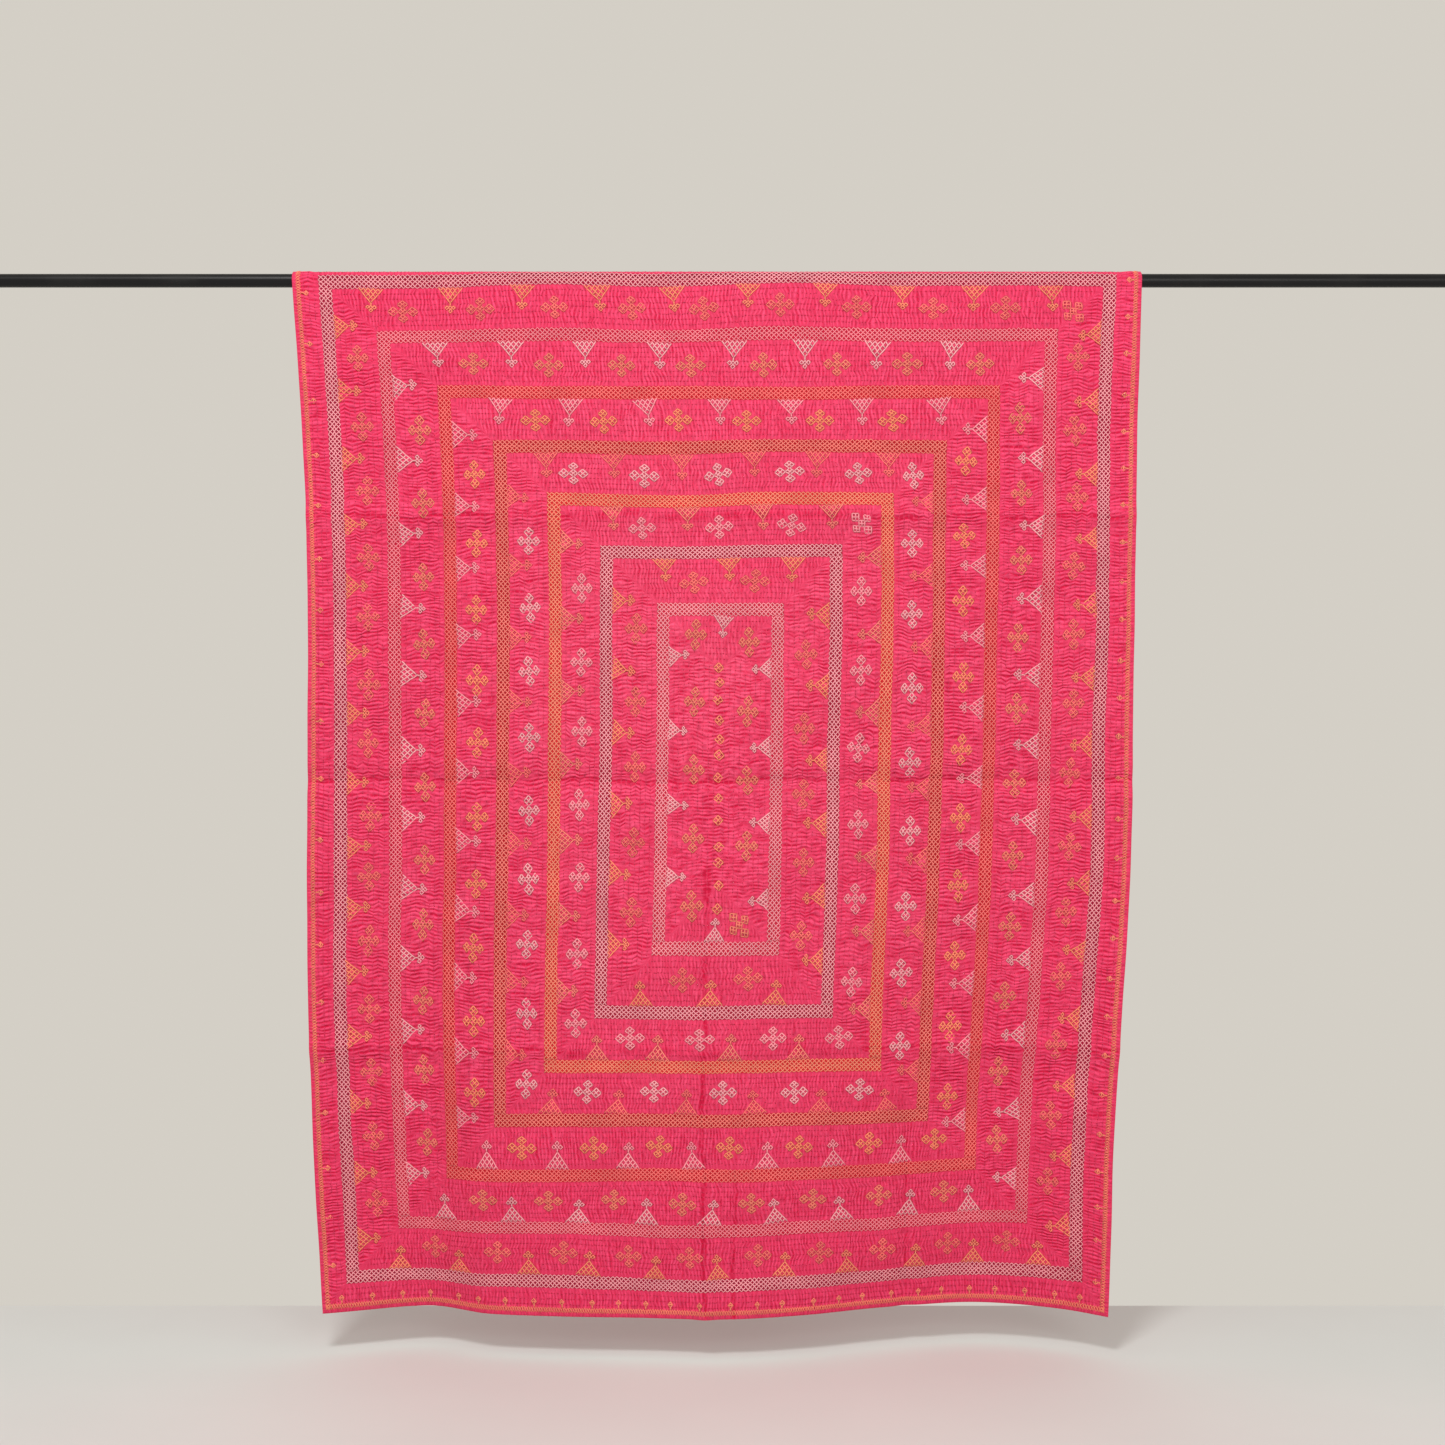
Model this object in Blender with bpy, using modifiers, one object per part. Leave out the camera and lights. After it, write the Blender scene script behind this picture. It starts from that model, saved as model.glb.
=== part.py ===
"""Ralli quilt hanging over a plain round rod.

Metres, +Z up. The origin is on the rod's axis at its middle, the rod runs along X and the quilt's face
looks towards -Y. The quilt is one sheet: a short flap behind the rod, a half turn over it and a long drop
in front, with the waves, storage creases and stitched relief of the real one.
"""

import math

import bmesh
import bpy

# Rod
ROD_DIAMETER = 0.0267
ROD_LENGTH = 3.0
ROD_SIDES = 48

# Quilt, flat, before it was hung
QUILT_WIDTH = 1.68
QUILT_LENGTH = 2.094
PUFF_THICKNESS = 0.0052
STITCHED_THICKNESS = 0.0026
HEM_PUFF = 0.4

# Embroidered bands: distance of each one's outer edge from the quilt's edge, the same on all four sides
BAND_OFFSETS = (0.051, 0.161, 0.275, 0.383, 0.489, 0.594, 0.711)
BAND_WIDTH = 0.0255

# Where the quilt goes over the rod
FLAP = 0.0085
ROD_CLEARANCE = 0.001
HEM_THICKNESS = STITCHED_THICKNESS + HEM_PUFF * (PUFF_THICKNESS - STITCHED_THICKNESS)
TURN_RADIUS = ROD_DIAMETER / 2 + ROD_CLEARANCE + HEM_THICKNESS / 2
TURN_LENGTH = math.pi * TURN_RADIUS
TURN_STEPS = 10
DROP = QUILT_LENGTH - FLAP - TURN_LENGTH

# How far the cloth stands forward along the hem, in metres
HEM_WAVE = (
    # share of width, forward
    (0.00, 0.023),
    (0.13, -0.037),
    (0.215, 0.024),
    (0.36, 0.048),
    (0.52, 0.066),
    (0.62, 0.030),
    (0.73, -0.030),
    (0.82, -0.067),
    (0.885, -0.058),
    (0.95, -0.010),
    (1.00, 0.051),
)
WAVE_GROWTH = 1.15

# Where the quilt's two side edges hang, in metres from the middle of the rod
SIDE_EDGES = (
    # share of drop, left x, right x
    (0.00, -0.838, 0.838),
    (0.15, -0.817, 0.828),
    (0.25, -0.808, 0.824),
    (0.40, -0.805, 0.818),
    (0.57, -0.806, 0.811),
    (0.70, -0.803, 0.794),
    (0.82, -0.794, 0.777),
    (0.92, -0.783, 0.769),
    (1.00, -0.773, 0.763),
)

# Creases left by storage: folds across the quilt at its quarters, and two soft ones down its lower part
CROSS_CREASES = (
    # share of length, forward
    (0.252, 0.005),
    (0.501, -0.006),
    (0.754, 0.005),
)
CROSS_CREASE_REACH = 0.045
DOWN_CREASES = (
    # share of width, forward, share of drop where it starts
    (0.488, 0.007, 0.30),
    (0.745, -0.006, 0.78),
)
DOWN_CREASE_REACH = 0.05

# The slow unevenness that hand stitching leaves in the cloth
RIPPLES = (
    # height, waves per metre across, waves per metre down, start in turns
    (0.0016, 2.1, 3.4, 0.10),
    (0.0013, 4.3, -2.2, 0.37),
    (0.0010, 1.2, 6.1, 0.72),
)

# The grid: cloth between two bands is split once, the long middle panel more often
CENTRE_STEP = 0.10
CREASE_STEP = 0.022
LEAST_STEP = 0.003


def smooth_step(share):
    share = min(max(share, 0.0), 1.0)
    return share * share * (3 - 2 * share)


def smooth_between(table, at, column=1):
    """Read a short table at any place, on a smooth curve through its rows."""
    last = len(table) - 1
    row = 0
    while row < last - 1 and table[row + 1][0] < at:
        row += 1
    before = table[max(row - 1, 0)]
    start = table[row]
    end = table[row + 1]
    after = table[min(row + 2, last)]
    span = end[0] - start[0]
    share = min(max((at - start[0]) / span, 0.0), 1.0)
    slope_start = (end[column] - before[column]) / (end[0] - before[0]) * span
    slope_end = (after[column] - start[column]) / (after[0] - start[0]) * span
    square = share * share
    cube = square * share
    return (
        (2 * cube - 3 * square + 1) * start[column]
        + (cube - 2 * square + share) * slope_start
        + (3 * square - 2 * cube) * end[column]
        + (cube - square) * slope_end
    )


def crease(distance, reach):
    """A soft ridge: 1 on the crease, 0 past its reach."""
    return (1 - smooth_step(abs(distance) / reach)) ** 2


def forward(across, along, share_down):
    """How far the front of the quilt stands ahead of a plain fall from the rod."""
    share_across = across / QUILT_WIDTH
    total = smooth_between(HEM_WAVE, share_across) * share_down ** WAVE_GROWTH
    for share, height in CROSS_CREASES:
        total += height * crease(along - share * QUILT_LENGTH, CROSS_CREASE_REACH)
    for share, height, start in DOWN_CREASES:
        strength = smooth_step((share_down - start) / (1 - start) * 3)
        total += height * strength * crease(across - share * QUILT_WIDTH, DOWN_CREASE_REACH)
    grown = smooth_step(share_down * 12)
    for height, across_rate, along_rate, start in RIPPLES:
        turns = across * across_rate + along * along_rate + start
        total += height * grown * math.sin(2 * math.pi * turns)
    return total


def hang(across, along):
    """Where a point of the flat quilt hangs: across from its left edge, along from its hidden top hem."""
    down = along - FLAP - TURN_LENGTH
    share_down = max(down, 0.0) / DROP
    left = smooth_between(SIDE_EDGES, share_down, 1)
    right = smooth_between(SIDE_EDGES, share_down, 2)
    x = left + (right - left) * across / QUILT_WIDTH
    if along < FLAP:
        return x, TURN_RADIUS, along - FLAP
    if down < 0:
        turned = (along - FLAP) / TURN_RADIUS
        return x, TURN_RADIUS * math.cos(turned), TURN_RADIUS * math.sin(turned)
    return x, -TURN_RADIUS - forward(across, along, share_down), -down


def puff(across, along):
    """How full the stitched cloth is: 0 on an embroidered band, 1 halfway between two of them."""
    inward = min(across, QUILT_WIDTH - across, along, QUILT_LENGTH - along)
    start = 0.0
    for offset in BAND_OFFSETS:
        if inward <= offset:
            height = HEM_PUFF if start == 0.0 else 1.0
            return height * math.sin(math.pi * (inward - start) / (offset - start))
        start = offset + BAND_WIDTH
        if inward <= start:
            return 0.0
    return math.sin(math.pi / 2 * (inward - start) / (QUILT_WIDTH / 2 - start))


def lines_from_edge():
    """The lines that run parallel to an edge: both sides of each band, and the crown between two bands."""
    lines = [0.0]
    for offset in BAND_OFFSETS:
        lines.append((lines[-1] + offset) / 2)
        lines.append(offset)
        lines.append(offset + BAND_WIDTH)
    return lines


def lines_across():
    near = lines_from_edge()
    far = [QUILT_WIDTH - line for line in reversed(near)]
    return near + [QUILT_WIDTH / 2] + far


def lines_along():
    near = lines_from_edge()
    far = [QUILT_LENGTH - line for line in reversed(near)]
    lines = near + far
    gap = far[0] - near[-1]
    steps = round(gap / CENTRE_STEP)
    wanted = [near[-1] + gap * step / steps for step in range(1, steps)]
    wanted += [FLAP + TURN_LENGTH * step / TURN_STEPS for step in range(TURN_STEPS + 1)]
    for share, height in CROSS_CREASES:
        wanted += [share * QUILT_LENGTH + step for step in (0.0, -CREASE_STEP, CREASE_STEP)]
    for line in wanted:
        if all(abs(line - other) >= LEAST_STEP for other in lines):
            lines.append(line)
    return sorted(lines)


def make_material(name, color, roughness, metallic):
    material = bpy.data.materials.new(name)
    material.use_nodes = True
    shader = material.node_tree.nodes["Principled BSDF"]
    shader.inputs["Base Color"].default_value = (*color, 1.0)
    shader.inputs["Roughness"].default_value = roughness
    shader.inputs["Metallic"].default_value = metallic
    return material


def make_sheet(columns, rows):
    """A grid with one line for each entry, still flat, cut into triangles along the mitres of the bands."""
    sheet = bmesh.new()
    bmesh.ops.create_grid(sheet, x_segments=len(columns) - 1, y_segments=len(rows) - 1, size=1.0)
    for point in sheet.verts:
        column = round((point.co.x + 1) / 2 * (len(columns) - 1))
        row = round((1 - point.co.y) / 2 * (len(rows) - 1))
        point.co = (columns[column], -rows[row], 0.0)
    for face in list(sheet.faces):
        middle = face.calc_center_median()
        on_left = middle.x < QUILT_WIDTH / 2
        on_top = -middle.y < QUILT_LENGTH / 2
        lean = 1 if on_left == on_top else -1
        ends = sorted(face.verts, key=lambda point: point.co.x - lean * point.co.y)
        bmesh.utils.face_split(face, ends[0], ends[-1])
    return sheet


def make_quilt(collection):
    sheet = make_sheet(lines_across(), lines_along())
    fullness = []
    for point in sheet.verts:
        across = point.co.x
        along = -point.co.y
        fullness.append(puff(across, along))
        point.co = hang(across, along)
    mesh = bpy.data.meshes.new("quilt")
    sheet.to_mesh(mesh)
    sheet.free()
    quilt = bpy.data.objects.new("quilt", mesh)
    collection.objects.link(quilt)
    group = quilt.vertex_groups.new(name="fullness")
    for index, amount in enumerate(fullness):
        group.add([index], amount, "REPLACE")
    solid = quilt.modifiers.new("thickness", "SOLIDIFY")
    solid.thickness = PUFF_THICKNESS
    solid.offset = 0.0
    solid.vertex_group = "fullness"
    solid.thickness_vertex_group = STITCHED_THICKNESS / PUFF_THICKNESS
    mesh.shade_smooth()
    mesh.materials.append(make_material("quilt_cloth", (0.80, 0.035, 0.13), 0.85, 0.0))
    return quilt


def make_rod(collection):
    bpy.ops.mesh.primitive_cylinder_add(
        vertices=ROD_SIDES,
        radius=ROD_DIAMETER / 2,
        depth=ROD_LENGTH,
        rotation=(0.0, math.pi / 2, 0.0),
    )
    rod = bpy.context.object
    rod.name = "rod"
    rod.data.name = "rod"
    for other in list(rod.users_collection):
        other.objects.unlink(rod)
    collection.objects.link(rod)
    rod.data.shade_smooth()
    rod.data.set_sharp_from_angle(angle=math.radians(40))
    rod.data.materials.append(make_material("rod_black", (0.012, 0.012, 0.013), 0.45, 0.0))
    return rod


def main():
    for old in list(bpy.data.objects):
        bpy.data.objects.remove(old, do_unlink=True)
    collection = bpy.data.collections.new("ralli_quilt_on_rod")
    bpy.context.scene.collection.children.link(collection)
    make_quilt(collection)
    make_rod(collection)


main()
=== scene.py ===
"""Looks of the ralli quilt on its rod: stitched cloth, embroidery, light and camera."""

import math

import bpy
import numpy as np
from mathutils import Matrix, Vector


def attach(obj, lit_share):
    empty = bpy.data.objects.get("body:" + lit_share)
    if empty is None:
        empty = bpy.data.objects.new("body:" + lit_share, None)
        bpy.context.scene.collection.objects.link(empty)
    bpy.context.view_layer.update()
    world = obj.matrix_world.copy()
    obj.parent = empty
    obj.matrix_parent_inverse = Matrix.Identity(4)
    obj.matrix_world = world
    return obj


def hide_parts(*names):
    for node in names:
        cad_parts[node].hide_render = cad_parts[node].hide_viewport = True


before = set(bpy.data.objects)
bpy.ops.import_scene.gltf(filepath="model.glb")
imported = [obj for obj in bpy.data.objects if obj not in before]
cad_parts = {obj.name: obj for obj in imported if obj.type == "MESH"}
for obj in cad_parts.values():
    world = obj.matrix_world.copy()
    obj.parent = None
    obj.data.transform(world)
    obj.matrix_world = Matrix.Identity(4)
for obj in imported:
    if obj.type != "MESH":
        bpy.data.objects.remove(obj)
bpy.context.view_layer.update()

# Rod and quilt, in metres, the same as in the solids
ROD_DIAMETER = 0.0267
QUILT_WIDTH = 1.68
QUILT_LENGTH = 2.094
PUFF_THICKNESS = 0.0052
STITCHED_THICKNESS = 0.0026
HEM_PUFF = 0.4
FLAP = 0.0085
ROD_CLEARANCE = 0.001
HEM_THICKNESS = STITCHED_THICKNESS + HEM_PUFF * (PUFF_THICKNESS - STITCHED_THICKNESS)
TURN_RADIUS = ROD_DIAMETER / 2 + ROD_CLEARANCE + HEM_THICKNESS / 2
TURN_LENGTH = math.pi * TURN_RADIUS
DROP = QUILT_LENGTH - FLAP - TURN_LENGTH

HEM_WAVE = (
    # share of width, forward
    (0.00, 0.023),
    (0.13, -0.037),
    (0.215, 0.024),
    (0.36, 0.048),
    (0.52, 0.066),
    (0.62, 0.030),
    (0.73, -0.030),
    (0.82, -0.067),
    (0.885, -0.058),
    (0.95, -0.010),
    (1.00, 0.051),
)
WAVE_GROWTH = 1.15
SIDE_EDGES = (
    # share of drop, left x, right x
    (0.00, -0.838, 0.838),
    (0.15, -0.817, 0.828),
    (0.25, -0.808, 0.824),
    (0.40, -0.805, 0.818),
    (0.57, -0.806, 0.811),
    (0.70, -0.803, 0.794),
    (0.82, -0.794, 0.777),
    (0.92, -0.783, 0.769),
    (1.00, -0.773, 0.763),
)
CROSS_CREASES = (
    # share of length, forward
    (0.252, 0.005),
    (0.501, -0.006),
    (0.754, 0.005),
)
CROSS_CREASE_REACH = 0.045
DOWN_CREASES = (
    # share of width, forward, share of drop where it starts
    (0.488, 0.007, 0.30),
    (0.745, -0.006, 0.78),
)
DOWN_CREASE_REACH = 0.05
RIPPLES = (
    # height, waves per metre across, waves per metre down, start in turns
    (0.0016, 2.1, 3.4, 0.10),
    (0.0013, 4.3, -2.2, 0.37),
    (0.0010, 1.2, 6.1, 0.72),
)

# Embroidered bands, from the hem inwards, and the cloth zones that they part
BAND_WIDTH = 0.0255
BANDS = (
    # distance from the hem, thread colour, thread width, colour of the cloth that shows between threads, darkened
    # as painted shade
    (0.051, "white", 0.0030, (0.34, 0.004, 0.036)),
    (0.161, "salmon", 0.0031, (0.56, 0.006, 0.040)),
    (0.275, "rust", 0.0033, (0.56, 0.008, 0.022)),
    (0.383, "tan", 0.0032, (0.46, 0.006, 0.016)),
    (0.489, "orange", 0.0034, (0.68, 0.020, 0.028)),
    (0.594, "mauve", 0.0030, (0.36, 0.006, 0.034)),
    (0.711, "blush", 0.0033, (0.60, 0.014, 0.050)),
)
ZONE_STARTS = np.array([0.0] + [band[0] + BAND_WIDTH for band in BANDS])
ZONE_ENDS = np.array([band[0] for band in BANDS] + [QUILT_WIDTH / 2])
LAST_ZONE = len(BANDS)

# Motifs: triangles stand on the inner edge of a zone's outer band, crosses in the middle of the zone
ZONE_COLORS = {
    # zone: triangles, crosses
    1: ("flame", "brick"),
    2: ("pearl", "gold"),
    3: ("blush", "amber"),
    4: ("rust", "pearl"),
    5: ("tan", "blush"),
    6: ("flame", "brick"),
}
MOTIF_ROWS = (
    # zone, side, triangles: how many, first and last place; crosses: how many, first and last place
    (1, "top", 10, 0.157, 1.502, 9, 0.216, 1.415),
    (1, "left", 15, 0.153, 1.948, 14, 0.220, 1.881),
    (1, "right", 14, 0.167, 1.931, 13, 0.220, 1.850),
    (1, "bottom", 11, 0.163, 1.541, 10, 0.247, 1.480),
    (2, "top", 8, 0.278, 1.308, 8, 0.353, 1.364),
    (2, "left", 12, 0.279, 1.825, 11, 0.358, 1.764),
    (2, "right", 12, 0.263, 1.847, 11, 0.327, 1.775),
    (2, "bottom", 9, 0.271, 1.396, 8, 0.356, 1.334),
    (3, "top", 7, 0.396, 1.282, 6, 0.464, 1.191),
    (3, "left", 11, 0.365, 1.711, 10, 0.446, 1.656),
    (3, "right", 11, 0.358, 1.724, 10, 0.423, 1.678),
    (3, "bottom", 7, 0.367, 1.244, 7, 0.447, 1.310),
    (4, "top", 6, 0.487, 1.185, 5, 0.540, 1.120),
    (4, "left", 9, 0.492, 1.582, 9, 0.573, 1.638),
    (4, "right", 9, 0.511, 1.625, 9, 0.449, 1.569),
    (4, "bottom", 6, 0.497, 1.204, 5, 0.580, 1.145),
    (5, "top", 4, 0.619, 1.069, 3, 0.678, 0.986),
    (5, "left", 7, 0.583, 1.457, 7, 0.671, 1.524),
    (5, "right", 7, 0.613, 1.494, 6, 0.685, 1.436),
    (5, "bottom", 4, 0.590, 1.014, 4, 0.668, 1.104),
    (6, "top", 3, 0.726, 0.986, 2, 0.787, 0.911),
    (6, "left", 6, 0.691, 1.366, 5, 0.752, 1.309),
    (6, "right", 6, 0.727, 1.409, 5, 0.797, 1.356),
    (6, "bottom", 3, 0.695, 0.970, 2, 0.777, 0.905),
)
TURNED_CROSSES = (
    # colour, across, along: crosses that were set on the slant
    ("brick", 1.546, 0.126),
    ("blush", 1.126, 0.553),
    ("gold", 0.886, 1.327),
)
PANEL_TRIANGLES = (
    # side, how many, first and last place
    ("top", 1, 0.847, 0.847),
    ("bottom", 1, 0.837, 0.837),
    ("left", 4, 0.815, 1.237),
    ("right", 4, 0.835, 1.280),
)
PANEL_CROSSES = (
    # across, how many, first and last place down
    (0.790, 5, 0.762, 1.297),
    (0.898, 4, 0.776, 1.178),
)
PANEL_DIAMONDS = (
    # how many, first and last place down
    (6, 0.827, 0.995),
    (7, 1.046, 1.299),
)
PANEL_SIZE = 0.80
PLACE_JITTER = 0.0035
MOTIF_TURN = 3.0
MOTIF_SPREAD = 0.06

# Thread work
HALF_CELL = 0.0047
CELL_ROWS = 6
# Where the threads cross over the band's width: the second and fourth rows of holes are the wide ones
CROSSINGS = np.array((0.0, 0.90, 2.15, 3.0, 3.85, 5.10, 6.0)) / CELL_ROWS
THREAD_HEIGHT = 0.0006
THREAD_SINK = 0.0006
OVER = 0.0010
UNDER = 0.0002
MOTIF_THREAD = 0.0044
# Value on the motif threads' feet, which sets the painted shade that the material puts there
MOTIF_SHADED_FOOT = -0.15
EDGING_INSET = 0.0108
EDGING_HALF = 0.0046
EDGING_PITCH = 0.0104
EDGING_THREAD = 0.0027
# Value on the edging threads' feet, which sets the painted shade that the material puts there
EDGING_SHADED_FOOT = 0.25
SPROUT_STEM = 0.0050
SPROUT_TIP = 0.0048
SPROUT_THREAD = 0.0036
SPROUTS = (
    # side, how many
    ("top", 27),
    ("left", 19),
    ("right", 27),
    ("bottom", 28),
)
CROSS_PARTS = (
    # middle along the band, middle inwards, half length along, half length inwards
    (0.0000, 0.0000, 0.0086, 0.0076),
    (0.0186, 0.0000, 0.0100, 0.0092),
    (-0.0186, 0.0000, 0.0100, 0.0092),
    (0.0000, 0.0146, 0.0094, 0.0076),
    (0.0000, -0.0146, 0.0094, 0.0076),
)
CROSS_REACH = 0.025
CROSS_PLACE = 0.52
END_STRETCH = 1.06
DIAMOND_HALF = 0.0095
TRIANGLE_HALF = 0.0245
TRIANGLE_TALL = 0.0310
TRIANGLE_CELLS = 5
TRIANGLE_LEAN = 0.05
TIP_CENTRE = 0.0405
TIP_HEART = 0.0034
TIP_LOBE = 0.0038
TIP_REACH = 0.0068
TRIANGLE_REACH = {"flame": 0.88, "rust": 0.88, "tan": 0.90, "pearl": 0.98, "blush": 0.98}

# In the middle the top band is drawn up towards the fold, and the rows are not spaced evenly down the quilt
TOP_RISE = 0.0065
PATTERN_SHIFT = (
    # place down the quilt, shift down
    (0.000, 0.000),
    (0.080, -0.001),
    (0.290, -0.003),
    (0.500, -0.006),
    (0.720, -0.012),
    (0.850, -0.008),
    (1.050, 0.000),
    (1.250, 0.004),
    (1.374, 0.009),
    (1.490, 0.013),
    (1.600, 0.015),
    (1.710, 0.014),
    (1.820, 0.012),
    (1.930, 0.002),
    (2.030, -0.003),
    (2.094, 0.000),
)

# The face is made in parts that meet under a band
FACE_PARTS = (
    # name, its first and last zone
    ("quilt_face_border", 0, 1),
    ("quilt_face_field", 2, 3),
    ("quilt_face_panel", 4, LAST_ZONE),
)
CENTRE_HALF = 0.004
BACK_ROWS = 24

# Stitching of the cloth: rows run round the quilt and the cloth puckers across them
ROW_PITCH = 0.0104
PUCKER = 0.0071
SIDE_RUNGS = 4
END_RUNGS = 3
SIDE_PUCKER_HEIGHT = 0.00090
END_PUCKER_HEIGHT = 0.00036
END_SHADE = 0.60
FOLD_LINES = (
    # across or down the quilt, share of its size, share of the other size where it starts and ends, strength
    ("down", 0.252, 0.0, 1.0, 1.0),
    ("down", 0.501, 0.0, 1.0, 1.0),
    ("down", 0.754, 0.0, 1.0, 1.0),
    ("across", 0.488, 0.50, 1.1, 1.3),
    ("across", 0.526, 0.87, 1.1, 1.2),
    ("across", 0.745, 0.84, 0.97, 0.9),
)
FOLD_REACH = 0.0080
FOLD_DEPTH = 0.0018
FOLD_FADE = 0.06
FOLD_WANDER = 0.0050
ZONE_STRENGTH = np.array((1.0, 1.25, 1.1, 1.1, 1.0, 0.9, 0.85, 0.65))
UNEVEN = 0.8
UNEVEN_SIZE = 0.0037
STITCH_LENGTH = 0.0034
STITCH_WIDTH = 0.0013

# Colours, as linear red, green and blue
THREAD_COLORS = {
    "white": (1.0, 0.40, 0.46),
    "pearl": (0.96, 0.41, 0.46),
    "salmon": (1.0, 0.26, 0.33),
    "rust": (1.0, 0.18, 0.18),
    "tan": (0.97, 0.23, 0.20),
    "orange": (1.0, 0.28, 0.19),
    "mauve": (0.99, 0.40, 0.46),
    "blush": (1.0, 0.33, 0.40),
    "flame": (1.0, 0.27, 0.17),
    "brick": (0.96, 0.18, 0.17),
    "gold": (0.92, 0.23, 0.17),
    "amber": (1.0, 0.28, 0.16),
    "stitch": (0.82, 0.045, 0.15),
}
# Share of the thread colour on the threads' feet: painted shade where a thread meets the cloth
THREAD_SHADED_FOOT = (0.56, 0.12, 0.20)
# Cloth colours: the crest colour is painted light on the puckers' crests, the trough colour painted shade in their
# troughs and fold lines
CLOTH_CREST_LIT = (0.875, 0.070, 0.184)
CLOTH_TROUGH_SHADED = (0.60, 0.008, 0.052)
# Colour that the cloth takes towards the middle of the quilt
CLOTH_PALE_MIDDLE = (0.93, 0.125, 0.235)
# Backing: painted light on the crests, painted shade in the troughs
BACKING_CREST_LIT = (0.70, 0.040, 0.130)
BACKING_TROUGH_SHADED = (0.48, 0.010, 0.050)
FADE_CENTRE = (0.03, 0.0, -0.78)
FADE_REACH = 1.15

# Camera and room: the picture's scale is 505 pixels a metre at the rod
CAMERA_PLACE = (0.011, -4.5, -0.875)
LENS = 56.6
FLOOR_LEVEL = -2.115
FLOOR_SIZE = (7.0, 6.5)
FLOOR_BACK = 0.33

SEED = 41
random_source = np.random.default_rng(SEED)
NOISE_CELLS = 256
noise_table = random_source.random((NOISE_CELLS, NOISE_CELLS))


SIDE_NAMES = ("top", "left", "right", "bottom")
TOP, LEFT, RIGHT, BOTTOM = range(4)
SIDE_NUMBERS = dict(zip(SIDE_NAMES, range(4)))
SIDE_NOISE = 7.37


def smooth_step(share):
    share = np.clip(share, 0.0, 1.0)
    return share * share * (3 - 2 * share)


def smooth_between(table, at, column=1):
    """Read a short table at any places, on a smooth curve through its rows."""
    rows = np.array(table)
    last = len(rows) - 1
    row = np.clip(np.searchsorted(rows[:, 0], at) - 1, 0, last - 1)
    before = rows[np.maximum(row - 1, 0)]
    start = rows[row]
    end = rows[row + 1]
    after = rows[np.minimum(row + 2, last)]
    span = end[..., 0] - start[..., 0]
    share = np.clip((at - start[..., 0]) / span, 0.0, 1.0)
    value_before, value_start = before[..., column], start[..., column]
    value_end, value_after = end[..., column], after[..., column]
    slope_start = (value_end - value_before) / (end[..., 0] - before[..., 0]) * span
    slope_end = (value_after - value_start) / (after[..., 0] - start[..., 0]) * span
    square = share * share
    cube = square * share
    return (
        (2 * cube - 3 * square + 1) * value_start
        + (cube - 2 * square + share) * slope_start
        + (3 * square - 2 * cube) * value_end
        + (cube - square) * slope_end
    )


def soft_noise(x, y, start):
    """Smooth noise from -1 to 1, one cell a unit."""
    x = np.asarray(x) + start * 17.31
    y = np.asarray(y) + start * 29.77
    column = np.floor(x).astype(int)
    row = np.floor(y).astype(int)
    across = smooth_step(x - column)
    down = smooth_step(y - row)
    column = column % NOISE_CELLS
    row = row % NOISE_CELLS
    next_column = (column + 1) % NOISE_CELLS
    next_row = (row + 1) % NOISE_CELLS
    upper = noise_table[row, column] * (1 - across) + noise_table[row, next_column] * across
    lower = noise_table[next_row, column] * (1 - across) + noise_table[next_row, next_column] * across
    return 2 * (upper * (1 - down) + lower * down) - 1


def crease(distance, reach):
    return (1 - smooth_step(np.abs(distance) / reach)) ** 2


def forward(across, along, share_down):
    """How far the front of the quilt stands ahead of a plain fall from the rod."""
    total = smooth_between(HEM_WAVE, across / QUILT_WIDTH) * share_down ** WAVE_GROWTH
    for share, height in CROSS_CREASES:
        total += height * crease(along - share * QUILT_LENGTH, CROSS_CREASE_REACH)
    for share, height, start in DOWN_CREASES:
        strength = smooth_step((share_down - start) / (1 - start) * 3)
        total += height * strength * crease(across - share * QUILT_WIDTH, DOWN_CREASE_REACH)
    grown = smooth_step(share_down * 12)
    for height, across_rate, along_rate, start in RIPPLES:
        turns = across * across_rate + along * along_rate + start
        total += height * grown * np.sin(2 * math.pi * turns)
    return total


def hang(across, along):
    """Where points of the flat quilt hang: across from its left edge, along from its hidden top hem."""
    down = np.maximum(along - FLAP - TURN_LENGTH, 0.0)
    share_down = down / DROP
    left = smooth_between(SIDE_EDGES, share_down, 1)
    right = smooth_between(SIDE_EDGES, share_down, 2)
    turned = np.clip((along - FLAP) / TURN_RADIUS, 0.0, math.pi)
    x = left + (right - left) * across / QUILT_WIDTH
    y = TURN_RADIUS * np.cos(turned) - forward(across, along, share_down)
    z = TURN_RADIUS * np.sin(turned) + np.minimum(along - FLAP, 0.0) - down
    return np.stack([x, y, z], axis=-1)


def shift(along):
    """How far the pattern at a place down the quilt lies from an even spacing."""
    return smooth_between(PATTERN_SHIFT, along)


def stray(across, along):
    """Lines drawn by hand on the cloth stray a little from straight ones."""
    x = 0.0026 * soft_noise(across / 0.17, along / 0.23, 1) + 0.0008 * soft_noise(across / 0.05, along / 0.05, 2)
    y = 0.0060 * soft_noise(across / 0.24, along / 0.17, 3) + 0.0008 * soft_noise(across / 0.05, along / 0.05, 4)
    inward = np.minimum(np.minimum(across, QUILT_WIDTH - across), np.minimum(along, QUILT_LENGTH - along))
    inside = smooth_step(inward / 0.06)
    beside = np.clip(across / QUILT_WIDTH, 0.0, 1.0)
    rise = TOP_RISE * np.sin(math.pi * beside) * smooth_step(along / 0.04) * (1 - smooth_step(along / 0.30))
    return across + x * inside, along + y * inside - rise + shift(along)


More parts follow.
